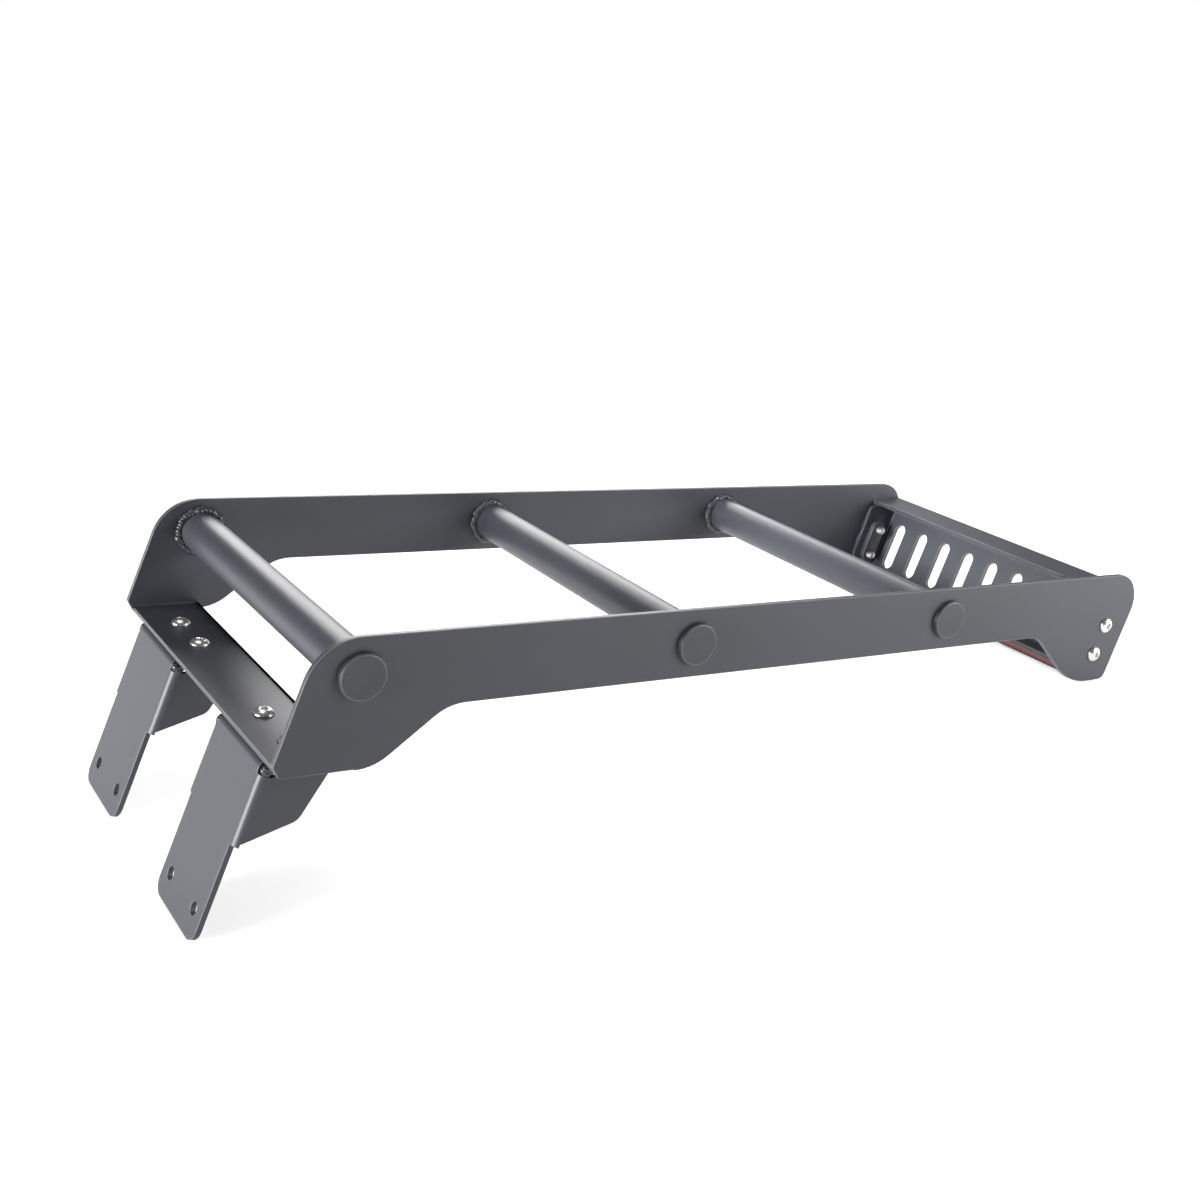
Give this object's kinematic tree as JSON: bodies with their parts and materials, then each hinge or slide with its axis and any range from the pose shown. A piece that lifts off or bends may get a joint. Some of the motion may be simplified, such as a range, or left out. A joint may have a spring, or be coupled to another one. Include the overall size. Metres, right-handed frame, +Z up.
{
  "type": "vehicle side ladder",
  "caption": "Side ladder for a vehicle's roof rack: folded sheet rails with round welded rungs, hanging brackets at the head and a slotted foot panel on a rubber strip.",
  "frame": {"origin": "on the floor under the middle of the ladder's bounding box", "axes": "+X along the ladder from the bracket end to the foot end, +Y across the rungs, +Z up; the ladder lies on its bracket tips and foot as pictured"},
  "size_m": [0.835, 0.31, 0.1944],
  "materials": {
    "coat": "matte fine-textured powder coat",
    "plug": "matte moulded plastic",
    "red": "matte bonding layer",
    "rubber": "matte rubber"
  },
  "bodies": {
    "root": {"bracket_far": "coat", "bracket_near": "coat", "folded_frame": "coat", "nut_plate_far": "coat", "nut_plate_near": "coat", "red_bonding_strip": "red", "rubber_foot_strip": "rubber", "rung_1": "coat", "rung_1_plug_far": "plug", "rung_1_plug_near": "plug", "rung_2": "coat", "rung_2_plug_far": "plug", "rung_2_plug_near": "plug", "rung_3": "coat", "rung_3_plug_far": "plug", "rung_3_plug_near": "plug", "slotted_panel": "coat"}
  },
  "joints": []
}
